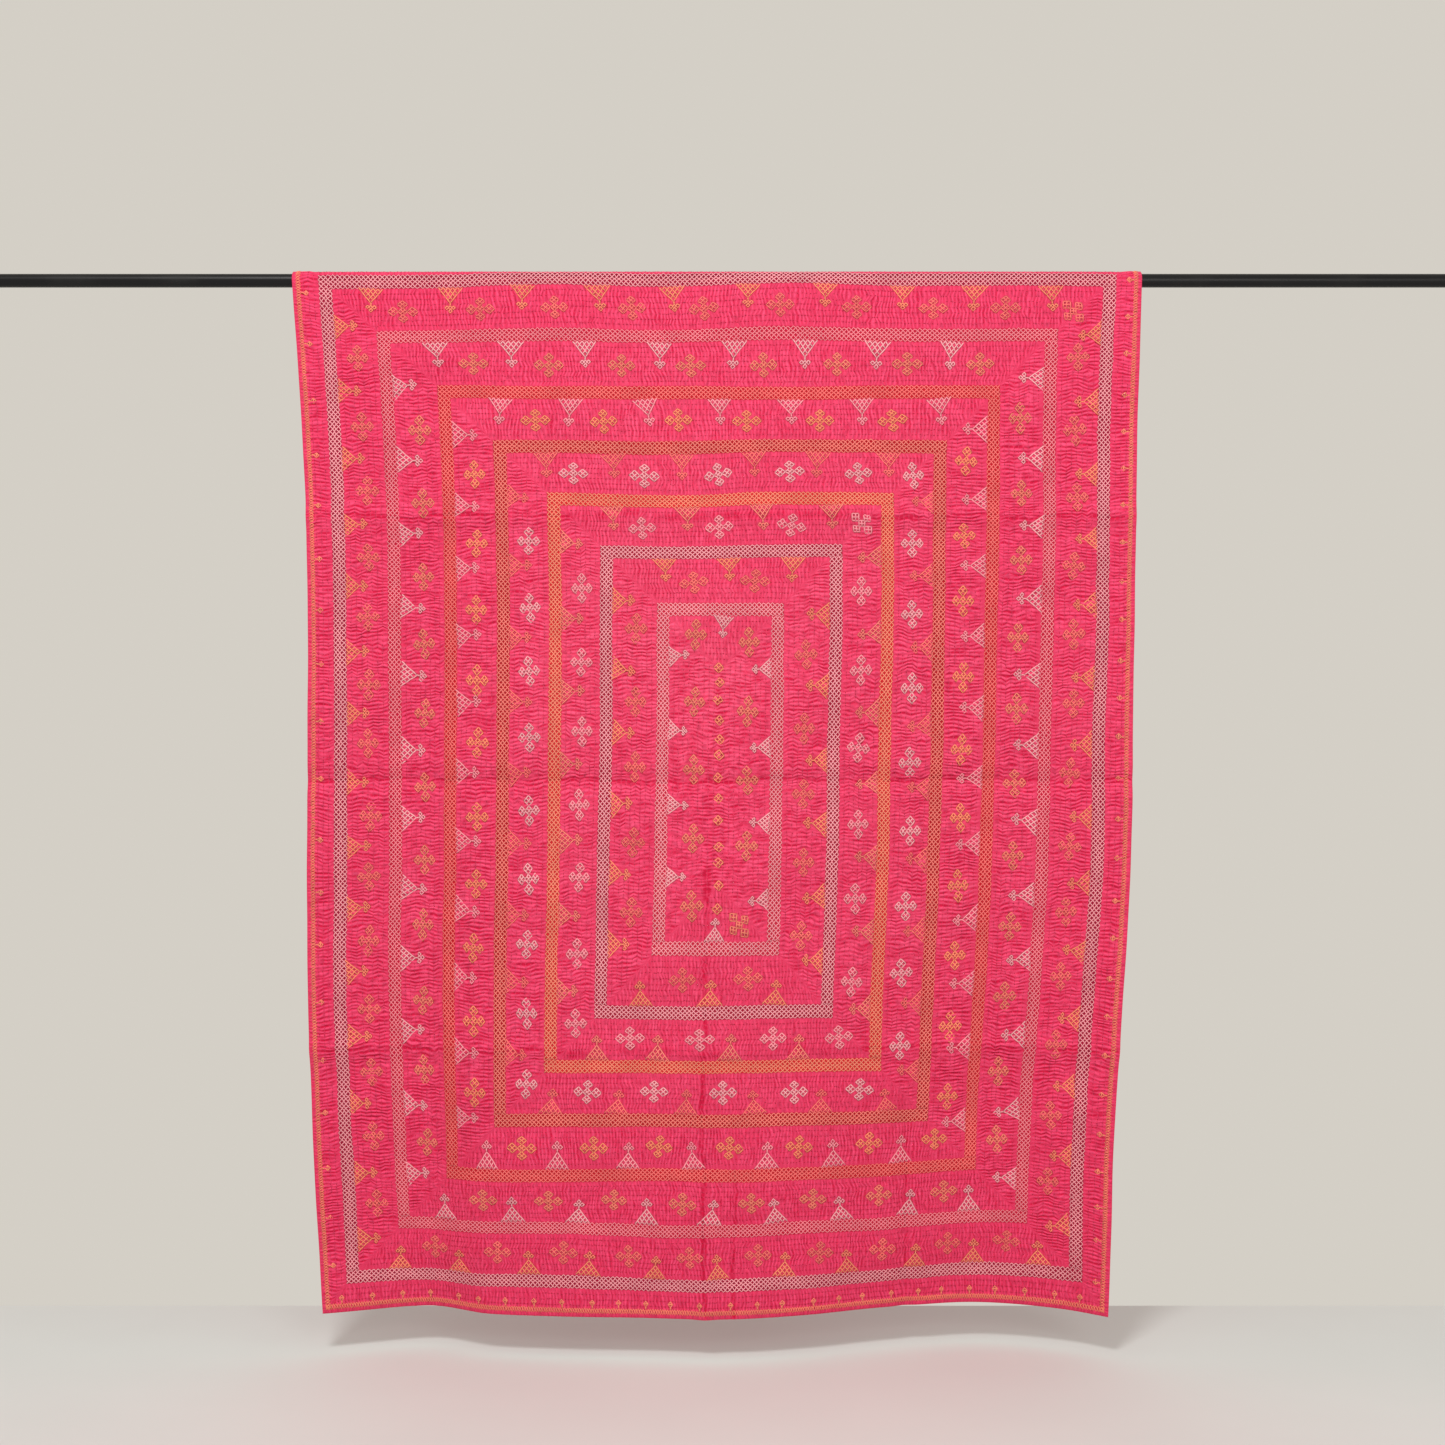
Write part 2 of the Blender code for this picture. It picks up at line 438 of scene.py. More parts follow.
def lay(across, along, height):
    """Points and outward normals of the hung quilt at a height above its middle layer."""
    reach = 0.0015
    points = hang(*stray(across, along))
    run_across = hang(*stray(across + reach, along)) - points
    run_along = hang(*stray(across, along + reach)) - points
    normals = np.cross(run_along, run_across)
    normals /= np.linalg.norm(normals, axis=-1, keepdims=True)
    return points + normals * np.asarray(height)[..., None], normals


def from_edge(across, along):
    """Distance in from the nearest edge, that edge's number, the place along it and the way to the mitre."""
    inward_x = np.minimum(across, QUILT_WIDTH - across)
    inward_y = np.minimum(along, QUILT_LENGTH - along)
    beside = np.where(across < QUILT_WIDTH / 2, LEFT, RIGHT)
    above = np.where(along < QUILT_LENGTH / 2, TOP, BOTTOM)
    upright = inward_x < inward_y
    place = np.where(upright, along, across)
    side = np.where(upright, beside, above)
    return np.minimum(inward_x, inward_y), side, place, np.abs(inward_x - inward_y)


def is_upright(side):
    return (side == LEFT) | (side == RIGHT)


def zone_of(inward):
    """The zone that a place is in or just past, its share of the zone's width, and that width."""
    zone = np.clip(np.searchsorted(ZONE_STARTS, inward, side="right") - 1, 0, LAST_ZONE)
    width = ZONE_ENDS[zone] - ZONE_STARTS[zone]
    share = np.clip((inward - ZONE_STARTS[zone]) / width, 0.0, 1.0)
    return zone, share, width


def half_thickness(inward):
    zone, share, width = zone_of(inward)
    fullness = np.where(zone == LAST_ZONE, np.sin(math.pi / 2 * share), np.sin(math.pi * share))
    fullness = fullness * np.where(zone == 0, HEM_PUFF, 1.0)
    return (STITCHED_THICKNESS + fullness * (PUFF_THICKNESS - STITCHED_THICKNESS)) / 2


def drift(place, inward, side, mitre):
    """Puckers wander sideways from one stitched row to the next."""
    start = side * SIDE_NOISE
    wide = 0.0042 * soft_noise(place / 0.050 + start, inward / 0.030, 5)
    fine = 0.0036 * soft_noise(place / 0.017 + start, inward / ROW_PITCH, 6)
    return (wide + fine) * smooth_step(mitre / 0.03)


class Cover:
    """A chart of where embroidered motifs hold the cloth flat."""

    STEP = 0.003

    def __init__(self):
        rows = int(QUILT_LENGTH / self.STEP) + 2
        columns = int(QUILT_WIDTH / self.STEP) + 2
        self.chart = np.zeros((rows, columns))

    def add(self, across, along, radius):
        reach = int(radius * 1.4 / self.STEP) + 1
        row = int(along / self.STEP)
        column = int(across / self.STEP)
        rows = np.arange(max(row - reach, 0), min(row + reach + 1, self.chart.shape[0]))
        columns = np.arange(max(column - reach, 0), min(column + reach + 1, self.chart.shape[1]))
        grid_across, grid_along = np.meshgrid(columns * self.STEP, rows * self.STEP)
        distance = np.hypot(grid_across - across, grid_along - along)
        bump = 1 - smooth_step((distance / radius - 0.8) / 0.5)
        window = np.ix_(rows, columns)
        self.chart[window] = np.maximum(self.chart[window], bump)

    def at(self, across, along):
        row = np.clip(along / self.STEP, 0, self.chart.shape[0] - 1.001)
        column = np.clip(across / self.STEP, 0, self.chart.shape[1] - 1.001)
        top = row.astype(int)
        left = column.astype(int)
        down = row - top
        right = column - left
        upper = self.chart[top, left] * (1 - right) + self.chart[top, left + 1] * right
        lower = self.chart[top + 1, left] * (1 - right) + self.chart[top + 1, left + 1] * right
        return upper * (1 - down) + lower * down


cover = Cover()


def fold_mark(across, along):
    """How deep the narrow lines are that storage has pressed into the cloth, from 0 to 1."""
    mark = np.zeros(np.shape(across))
    for direction, share, start, end, strength in FOLD_LINES:
        if direction == "down":
            distance = along - share * QUILT_LENGTH
            beside = across / QUILT_WIDTH
            run = across
        else:
            distance = across - share * QUILT_WIDTH
            beside = along / QUILT_LENGTH
            run = along
        distance = distance + FOLD_WANDER * soft_noise(run / 0.09, share * 40, 9)
        distance = distance + 0.45 * FOLD_WANDER * soft_noise(run / 0.025, share * 40, 10)
        ends = smooth_step((beside - start) / FOLD_FADE + 0.5) * smooth_step((end - beside) / FOLD_FADE + 0.5)
        uneven = 0.75 + 0.45 * soft_noise(run / 0.04, share * 40, 11)
        mark = np.maximum(mark, strength * ends * uneven * crease(distance, FOLD_REACH))
    return mark


def row_number(zone, share):
    """Stitched rows counted in from a zone's outer band, with other numbers for each zone."""
    steps = np.round((ZONE_ENDS[zone] - ZONE_STARTS[zone]) / ROW_PITCH)
    return 100 * zone + share * steps


def cloth_values(across, along):
    """What the cloth's material reads: the painted light and shade of the puckers and fold lines, the strength of
    the painted shade at the stitches, and places counted in puckers and rows.
    """
    inward, side, place, mitre = from_edge(across, along)
    zone, share, width = zone_of(inward)
    turn = (place - drift(place, inward, side, mitre)) / PUCKER + side * SIDE_NOISE
    row = row_number(zone, share)
    # Strength of the painted shade in dots at the stitches: little on the side zones, more on the end zones and
    # beside the bands
    stitch_shade = np.where(is_upright(side), 0.0, 0.50) + 0.45 * soft_noise(place / 0.15, np.round(row), 13)
    beside_band = (inward > ZONE_STARTS[1]) & ((share < 0.02) | (share > 0.98)) & (zone < LAST_ZONE)
    stitch_shade = stitch_shade + np.where(beside_band, 0.4, 0.0)
    return {"relief": pucker(across, along)[1], "turn": turn, "row": row, "stitch_shade": np.maximum(stitch_shade, 0.0)}


def pucker(across, along):
    """Height of the puckers and fold lines, and how much painted light their crests get and painted shade their
    troughs and fold lines get.
    """
    inward, side, place, mitre = from_edge(across, along)
    upright = is_upright(side)
    zone, share, width = zone_of(inward)
    near_band = np.minimum(share, 1 - share) * width
    near_band = np.where(zone == LAST_ZONE, share * width, near_band)
    on_band = (inward > ZONE_ENDS[zone]) & (zone < LAST_ZONE)
    free = 0.3 + 0.7 * smooth_step(near_band / 0.012)
    free = np.where(on_band, 0.0, free) * smooth_step(mitre / 0.006)
    free = free * (1 - 0.5 * crease(inward - EDGING_INSET, 3 * EDGING_HALF))
    height = np.where(upright, SIDE_PUCKER_HEIGHT, END_PUCKER_HEIGHT)
    start = side * SIDE_NOISE
    strength = 0.90 + 0.35 * soft_noise(place / 0.060 + start, inward / 0.050, 7)
    strength = strength + 0.70 * soft_noise(place / 0.008 + start, inward / ROW_PITCH, 8)
    strength = strength * ZONE_STRENGTH[zone]
    turns = (place - drift(place, inward, side, mitre)) / PUCKER
    wave = np.cos(2 * math.pi * turns) * np.maximum(strength, 0.1)
    wave = wave + UNEVEN * soft_noise(place / UNEVEN_SIZE + start, inward / ROW_PITCH, 12)
    wave = wave * free * (1 - 0.5 * cover.at(across, along))
    fold = fold_mark(*stray(across, along))
    # Painted light and shade for the material: lighter on crests, darker in troughs and in the fold lines, weaker
    # on the end zones
    tone = wave * np.where(upright, 1.0, END_SHADE) - fold
    return height * wave - FOLD_DEPTH * fold, tone


def face_height(across, along):
    inward = from_edge(across, along)[0]
    return half_thickness(inward) + pucker(across, along)[0]


def at_side(side, place, inset):
    """Turn a place along a side and a distance in from it into places across and along the quilt."""
    place, inset = np.broadcast_arrays(place, inset)
    if side == "top":
        return place, inset
    if side == "bottom":
        return place, QUILT_LENGTH - inset
    if side == "left":
        return inset, place
    return QUILT_WIDTH - inset, place


def side_length(side):
    return QUILT_LENGTH if side in ("left", "right") else QUILT_WIDTH


SIDE_CORNERS = {
    "top": ("top left", "top right"),
    "left": ("top left", "bottom left"),
    "right": ("top right", "bottom right"),
    "bottom": ("bottom left", "bottom right"),
}
CORNER_SIDES = {"top left": ("top", 0), "top right": ("top", 1), "bottom left": ("bottom", 0), "bottom right": ("bottom", 1)}


def make_mesh(name, points, triangles, quads):
    mesh = bpy.data.meshes.new(name)
    mesh.vertices.add(len(points))
    mesh.vertices.foreach_set("co", np.asarray(points, dtype=np.float32).ravel())
    corners = np.concatenate([triangles.ravel(), quads.ravel()]).astype(np.int32)
    sizes = np.concatenate([np.full(len(triangles), 3), np.full(len(quads), 4)])
    starts = np.concatenate([[0], np.cumsum(sizes)[:-1]]).astype(np.int32)
    mesh.loops.add(len(corners))
    mesh.loops.foreach_set("vertex_index", corners)
    mesh.polygons.add(len(sizes))
    mesh.polygons.foreach_set("loop_start", starts)
    mesh.update(calc_edges=True)
    mesh.validate()
    mesh.shade_smooth()
    return mesh


def add_piece(name, mesh, materials):
    piece = bpy.data.objects.new(name, mesh)
    bpy.context.scene.collection.objects.link(piece)
    for material in materials:
        mesh.materials.append(material)
    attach(piece, "root")
    return piece


class RingSheet:
    """A sheet of nested rings that follow the stitched rows, each with rungs on the puckers."""

    def __init__(self, rings, side_rung, end_rung, closed_centre):
        self.across, self.along, self.level, self.inset = [], [], [], []
        self.count = 0
        self.triangles, self.quads = [], []
        self.rung = {"top": end_rung, "bottom": end_rung, "left": side_rung, "right": side_rung}
        outer = None
        for inset, level in rings:
            inner = self.add_ring(inset, level)
            if outer is not None:
                for side in SIDE_NAMES:
                    self.join(outer, inner, side)
            outer = inner
        if closed_centre:
            self.close_centre(outer)

    def add_points(self, across, along, inset, level):
        across = np.atleast_1d(np.asarray(across, dtype=float))
        first = self.count
        self.across.append(across)
        self.along.append(np.atleast_1d(np.asarray(along, dtype=float)))
        self.inset.append(np.full(len(across), inset))
        self.level.append(np.full(len(across), level))
        self.count += len(across)
        return np.arange(first, self.count)

    def add_ring(self, inset, level):
        ring = {}
        for corner, (side, end) in CORNER_SIDES.items():
            place = side_length(side) - inset if end else inset
            ring[corner] = self.add_points(*at_side(side, place, inset), inset, level)[0]
        for side in SIDE_NAMES:
            rung = self.rung[side]
            margin = max(inset, 0.0) + rung / 2
            first = math.ceil(margin / rung)
            last = math.floor((side_length(side) - margin) / rung)
            steps = np.arange(first, last + 1)
            place = steps * rung
            number = np.full(len(place), SIDE_NUMBERS[side])
            mitre = np.minimum(place - inset, side_length(side) - inset - place)
            place = place + drift(place, np.full(len(place), max(inset, 0.0)), number, mitre)
            ring[side] = (first, last, self.add_points(*at_side(side, place, inset), inset, level))
        return ring

    def join(self, outer, inner, side):
        start, end = SIDE_CORNERS[side]
        if outer[side][1] < inner[side][1]:
            outer, inner = inner, outer
        outer_first, outer_last, outer_points = outer[side]
        first, last, points = inner[side]
        if first > last:
            chain = np.concatenate([[outer[start]], outer_points, [outer[end]]])
            middle = len(chain) // 2
            self.fan(chain[: middle + 1], inner[start])
            self.fan(chain[middle:], inner[end])
            self.triangles.append([[chain[middle], inner[end], inner[start]]])
            return
        matching = outer_points[first - outer_first : last - outer_first + 1]
        self.quads.append(np.stack([matching[:-1], points[:-1], points[1:], matching[1:]], axis=1))
        self.fan(np.concatenate([[outer[start]], outer_points[: first - outer_first + 1]]), inner[start])
        self.triangles.append([[matching[0], points[0], inner[start]]])
        self.fan(np.concatenate([outer_points[last - outer_first :], [outer[end]]]), inner[end])
        self.triangles.append([[matching[-1], points[-1], inner[end]]])

    def fan(self, chain, apex):
        self.triangles.append(np.stack([chain[:-1], chain[1:], np.full(len(chain) - 1, apex)], axis=1))

    def close_centre(self, ring):
        left = ring["left"][2]
        right = ring["right"][2]
        self.quads.append(np.stack([left[:-1], left[1:], right[1:], right[:-1]], axis=1))
        for side, pair in (("top", (left[0], right[0])), ("bottom", (left[-1], right[-1]))):
            start, end = SIDE_CORNERS[side]
            chain = np.concatenate([[ring[start]], ring[side][2], [ring[end]]])
            self.fan(chain, pair[0])
            self.triangles.append([[chain[-1], pair[1], pair[0]]])

    def faces(self):
        """All faces turned to look out of the quilt's face."""
        across = np.concatenate(self.across)
        along = np.concatenate(self.along)
        found = []
        for group in (np.concatenate(self.triangles), np.concatenate(self.quads)):
            a, b, c = group[:, 0], group[:, 1], group[:, 2]
            turn = (across[b] - across[a]) * (along[c] - along[a]) - (across[c] - across[a]) * (along[b] - along[a])
            found.append(np.where(turn[:, None] > 0, group[:, ::-1], group))
        return found


def add_values(mesh, values):
    for name, numbers in values.items():
        layer = mesh.attributes.new(name, "FLOAT", "POINT")
        layer.data.foreach_set("value", np.asarray(numbers, dtype=np.float32))


def cloth_mesh(name, sheet, points, faces, values):
    triangles, quads = faces
    mesh = make_mesh(name, points, triangles, quads)
    inset = np.concatenate(sheet.inset)
    middles = np.concatenate([inset[triangles].mean(axis=1), inset[quads].mean(axis=1)])
    zone = zone_of(middles)[0]
    on_band = (middles > ZONE_ENDS[zone]) & (zone < LAST_ZONE)
    mesh.polygons.foreach_set("material_index", np.where(on_band, zone + 1, 0).astype(np.int32))
    add_values(mesh, values)
    return mesh


def stitched_rows(first_zone, last_zone):
    """Insets of the stitched rows in some zones, with the bands' edges and middles."""
    rows = []
    for zone in range(first_zone, last_zone + 1):
        width = ZONE_ENDS[zone] - ZONE_STARTS[zone]
        steps = round(width / ROW_PITCH)
        rows += [ZONE_STARTS[zone] + width * step / steps for step in range(steps + 1)]
        if zone < LAST_ZONE:
            rows.append(ZONE_ENDS[zone] + BAND_WIDTH / 2)
    return rows


def make_face(materials):
    """The quilt's face in nested meshes that meet under a band. The outer one turns round the hem."""
    rings = [(0.0060, -1.30), (0.0004, -1.20), (-0.0012, -0.45), (-0.0010, 0.45)]
    pieces = []
    for name, first_zone, last_zone in FACE_PARTS:
        closed = last_zone == LAST_ZONE
        rows = stitched_rows(first_zone, last_zone)
        if closed:
            rows[-1] = QUILT_WIDTH / 2 - CENTRE_HALF
        rings = rings + [(row, 1.0) for row in rows]
        sheet = RingSheet(rings, PUCKER / SIDE_RUNGS, PUCKER / END_RUNGS, closed)
        across = np.concatenate(sheet.across)
        along = np.concatenate(sheet.along)
        level = np.concatenate(sheet.level)
        inset = np.maximum(np.concatenate(sheet.inset), 0.0)
        height = pucker(across, along)[0]
        on_face = level == 1.0
        height = half_thickness(inset) * level + np.where(on_face, height, 0.0)
        points = lay(across, along, height)[0]
        faces = sheet.faces()
        if first_zone == 0:
            faces = turn_hem(faces, level)
        mesh = cloth_mesh(name, sheet, points, faces, cloth_values(across, along))
        pieces.append(add_piece(name, mesh, materials))
        rings = rings[-1:]
    return pieces


def turn_hem(faces, level):
    """The hem's faces on the back of the quilt look the other way."""
    turned = []
    for group in faces:
        behind = level[group].min(axis=1) < -1.1
        turned.append(np.where(behind[:, None], group[:, ::-1], group))
    return turned


def make_back(material):
    """The plain backing, stitched through with the face."""
    insets = np.linspace(0.0015, QUILT_WIDTH / 2 - CENTRE_HALF, BACK_ROWS)
    sheet = RingSheet([(inset, -1.0) for inset in insets], PUCKER / END_RUNGS, PUCKER / END_RUNGS, True)
    across = np.concatenate(sheet.across)
    along = np.concatenate(sheet.along)
    inset = np.concatenate(sheet.inset)
    height = pucker(across, along)[0]
    points = lay(across, along, 0.4 * height - half_thickness(inset))[0]
    faces = [group[:, ::-1] for group in sheet.faces()]
    mesh = make_mesh("quilt_back", points, *faces)
    values = cloth_values(across, along)
    # On the back the painted light and shade of the puckers is turned over
    values["relief"] = -values["relief"]
    add_values(mesh, values)
    return add_piece("quilt_back", mesh, [material])


class ThreadWork:
    """Closed three-sided threads that lie on the quilt's face."""

    def __init__(self):
        self.points, self.triangles, self.quads = [], [], []
        self.count = 0

    def add(self, across, along, lift, width):
        """One row of the arrays for each thread, one column for each point that it passes."""
        points, normals = lay(across, along, face_height(across, along) + lift)
        run = np.gradient(points, axis=1)
        run /= np.linalg.norm(run, axis=-1, keepdims=True) + 1e-12
        out = np.cross(normals, run)
        left = points - out * width / 2 - normals * THREAD_SINK
        right = points + out * width / 2 - normals * THREAD_SINK
        crest = points + normals * THREAD_HEIGHT
        threads, nodes = across.shape
        index = np.arange(threads * nodes * 3).reshape(threads, nodes, 3) + self.count
        for a, b in ((0, 1), (1, 2), (2, 0)):
            corners = (index[:, :-1, a], index[:, :-1, b], index[:, 1:, b], index[:, 1:, a])
            self.quads.append(np.stack(corners, axis=-1).reshape(-1, 4))
        self.triangles.append(index[:, 0][:, [0, 2, 1]])
        self.triangles.append(index[:, -1][:, [0, 1, 2]])
        self.points.append(np.stack([left, right, crest], axis=2).reshape(-1, 3))
        self.count += threads * nodes * 3

    def piece(self, name, material, shaded_foot=0.0):
        """The threads' crests carry the value 1 and their feet a lower value, so that the material paints shade on
        the feet.
        """
        points = np.concatenate(self.points)
        mesh = make_mesh(name, points, np.concatenate(self.triangles), np.concatenate(self.quads))
        add_values(mesh, {"crest": np.tile([shaded_foot, shaded_foot, 1.0], len(points) // 3)})
        return add_piece(name, mesh, [material])


def make_band(number, material):
    """One embroidered band: threads cross the band on the slant, turn at its edges and weave over and under."""
    offset, color, width, shaded_ground = BANDS[number]
    work = ThreadWork()
    source = np.random.default_rng(SEED + number)
    turn = 2 * CELL_ROWS
    for side in SIDE_NAMES:
        upright = side in ("left", "right")
        margin = offset + BAND_WIDTH if upright else offset
        length = side_length(side) - 2 * margin
        steps = round(length / HALF_CELL)
        step = np.arange(steps + 1)
        jitter_place = source.normal(0, 0.00045, (CELL_ROWS + 1, steps + 1))
        jitter_inset = source.normal(0, 0.00045, (CELL_ROWS + 1, steps + 1))
        for start in range(0, turn, 2):
            phase = (step + start) % turn
            row = np.where(phase <= CELL_ROWS, phase, turn - phase)
            rising = phase < CELL_ROWS
            over = rising == (row % 2 == 1)
            at_edge = (row == 0) | (row == CELL_ROWS)
            lift = np.where(at_edge, (OVER + UNDER) / 3, np.where(over, OVER, UNDER))
            place = margin + length * step / steps + jitter_place[row, step]
            inset = offset + BAND_WIDTH * CROSSINGS[row] + jitter_inset[row, step]
            across, along = at_side(side, place, inset)
            work.add(across[None], along[None], lift[None], width)
    return work.piece(f"band_{number + 1}_{color}", material)


def diamond_lines(centre, half_along, half_in):
    """The six threads of a diamond of two by two cells, as lists of (along, in, over)."""
    lines = []
    for fixed in (-1, 0, 1):
        for swap in (False, True):
            line = []
            for free in (-1, 0, 1):
                first, second = (fixed, free) if swap else (free, fixed)
                place = centre[0] + (first + second) * half_along / 2
                inset = centre[1] + (first - second) * half_in / 2
                over = swap == ((first + second) % 2 == 0)
                line.append((place, inset, over))
            lines.append(line)
    return lines


def loop_line(centre, half):
    corners = ((0, -half), (half, 0), (0, half), (-half, 0), (0, -half))
    return [(centre[0] + place, centre[1] + inset, True) for place, inset in corners]


def cross_lines():
    lines = []
    for place, inset, half_along, half_in in CROSS_PARTS:
        lines += diamond_lines((place, inset), half_along, half_in)
    return lines


def triangle_lines():
    """A triangle of lattice on a band's edge, with a neck and a small three-lobed tip."""
    lines = []
    for fixed in range(TRIANGLE_CELLS):
        for swap in (False, True):
            line = []
            for free in range(TRIANGLE_CELLS - fixed + 1):
                left, right = (fixed, free) if swap else (free, fixed)
                place = (right - left) * TRIANGLE_HALF / TRIANGLE_CELLS
                inset = TRIANGLE_TALL * (1 - (left + right) / TRIANGLE_CELLS)
                line.append((place, inset, swap == ((left + right) % 2 == 0)))
            lines.append(line)
    lines.append([(0.0, TRIANGLE_TALL, True), (0.0, TIP_CENTRE - TIP_HEART, True)])
    lines.append(loop_line((0.0, TIP_CENTRE), TIP_HEART))
    for place, inset in ((-TIP_REACH, 0.0), (TIP_REACH, 0.0), (0.0, TIP_REACH)):
        lines.append(loop_line((place, TIP_CENTRE + inset), TIP_LOBE))
    return lines


class Motifs:
    """Motifs gathered by colour, so that each colour becomes one piece."""

    def __init__(self):
        self.lines = {}
        self.random = np.random.default_rng(SEED + 100)

    def add(self, color, side, place, inset, lines, turn=0.0, lean=0.0, reach=1.0, size=1.0):
        stretch = size * (1 + self.random.uniform(-MOTIF_SPREAD, MOTIF_SPREAD, 2))
        angle = math.radians(turn + self.random.normal(0, MOTIF_TURN))
        cosine, sine = math.cos(angle), math.sin(angle)
        for line in lines:
            nodes = np.array([node[:2] for node in line]) * stretch
            nodes[:, 1] *= reach
            nodes[:, 0] += lean * nodes[:, 1]
            nodes = nodes + self.random.normal(0, 0.0003, nodes.shape)
            turned_place = place + nodes[:, 0] * cosine - nodes[:, 1] * sine
            turned_inset = inset + nodes[:, 0] * sine + nodes[:, 1] * cosine
            across, along = at_side(side, turned_place, turned_inset)
            lift = np.array([OVER * 0.8 if node[2] else UNDER for node in line])
            self.lines.setdefault(color, {}).setdefault(len(line), []).append((across, along, lift))

    def add_cross(self, color, side, place, inset, turn=0.0):
        self.add(color, side, place, inset, cross_lines(), turn)
        across, along = at_side(side, place, inset)
        cover.add(float(across), float(along), CROSS_REACH)

    def add_triangle(self, color, side, place, inset, size=1.0):
        reach = TRIANGLE_REACH[color] * (END_STRETCH if side in ("top", "bottom") else 1.0)
        lean = self.random.normal(0, TRIANGLE_LEAN)
        self.add(color, side, place, inset, triangle_lines(), lean=lean, reach=reach, size=size)
        for reach, radius in ((TRIANGLE_TALL * 0.4, 0.017), (TIP_CENTRE, 0.012)):
            across, along = at_side(side, place, inset + reach)
            cover.add(float(across), float(along), radius)

    def pieces(self, materials):
        made = []
        for color, groups in self.lines.items():
            work = ThreadWork()
            for lines in groups.values():
                across, along, lift = (np.array(values) for values in zip(*lines))
                work.add(across, along, lift, MOTIF_THREAD)
            made.append(work.piece(f"motifs_{color}", materials[color], MOTIF_SHADED_FOOT))
        return made


def places(source, side, count, first, last):
    """Evenly spaced places with the jitter of work done by eye."""
    found = np.linspace(first, last, count) + source.normal(0, PLACE_JITTER, count)
    return found - shift(found) if side in ("left", "right") else found


def chart_motifs(motifs):
    """Place every motif."""
    source = motifs.random
    for zone, side, triangles, first, last, crosses, first_cross, last_cross in MOTIF_ROWS:
        triangle_color, cross_color = ZONE_COLORS[zone]
        start = ZONE_STARTS[zone]
        cross_inset = start + (ZONE_ENDS[zone] - start) * CROSS_PLACE
        for place in places(source, side, triangles, first, last):
            motifs.add_triangle(triangle_color, side, place, start)
        for place in places(source, side, crosses, first_cross, last_cross):
            motifs.add_cross(cross_color, side, place, cross_inset + source.normal(0, 0.0015))
    for color, across, along in TURNED_CROSSES:
        motifs.add_cross(color, "top", across, along, 45.0)
    for side, count, first, last in PANEL_TRIANGLES:
        for place in np.linspace(first, last, count):
            motifs.add_triangle("pearl", side, place, ZONE_STARTS[LAST_ZONE], PANEL_SIZE)
    for across, count, first, last in PANEL_CROSSES:
        for along in places(source, "left", count, first, last):
            motifs.add_cross("gold", "top", across, along, 90.0)
    for count, first, last in PANEL_DIAMONDS:
        for along in places(source, "left", count, first, last):
            lines = diamond_lines((0.0, 0.0), DIAMOND_HALF, DIAMOND_HALF)
            motifs.add("flame", "top", QUILT_WIDTH / 2 + source.normal(0, 0.002), along, lines)


def make_edging(material):
    """A chain of small diamonds round the hem, with sprouts that point inwards."""
    work = ThreadWork()
    source = np.random.default_rng(SEED + 200)
    for side in SIDE_NAMES:
        length = side_length(side) - 2 * (EDGING_INSET - EDGING_HALF)
        steps = 4 * round(length / EDGING_PITCH)
        step = np.arange(steps + 1)
        place = EDGING_INSET - EDGING_HALF + length * step / steps
        for sign in (1, -1):
            inset = EDGING_INSET + sign * EDGING_HALF * np.array((1, 0, -1, 0))[step % 4]
            inset = inset + source.normal(0, 0.0003, len(step))
            across, along = at_side(side, place + source.normal(0, 0.0003, len(step)), inset)
            lift = np.where(step % 2 == 0, UNDER, OVER)
            work.add(across[None], along[None], lift[None], EDGING_THREAD)
    foot = EDGING_INSET + EDGING_HALF
    for side, count in SPROUTS:
        spacing = side_length(side) / (count + 0.6)
        for step in range(count):
            place = spacing * (step + 0.8) + source.normal(0, 0.003)
            stem = [(0.0, foot), (0.0, foot + SPROUT_STEM)]
            middle = foot + SPROUT_STEM + SPROUT_TIP
            tip = [corner[:2] for corner in loop_line((0.0, middle), SPROUT_TIP)]
            bar = [(-SPROUT_TIP, middle), (0.0, middle), (SPROUT_TIP, middle)]
            for line in (stem, tip, bar):
                nodes = np.array(line) + source.normal(0, 0.0003, (len(line), 2))
                across, along = at_side(side, place + nodes[:, 0], nodes[:, 1])
                work.add(across[None], along[None], np.full((1, len(line)), OVER * 0.6), SPROUT_THREAD)
    return work.piece("edging_flame", material, EDGING_SHADED_FOOT)


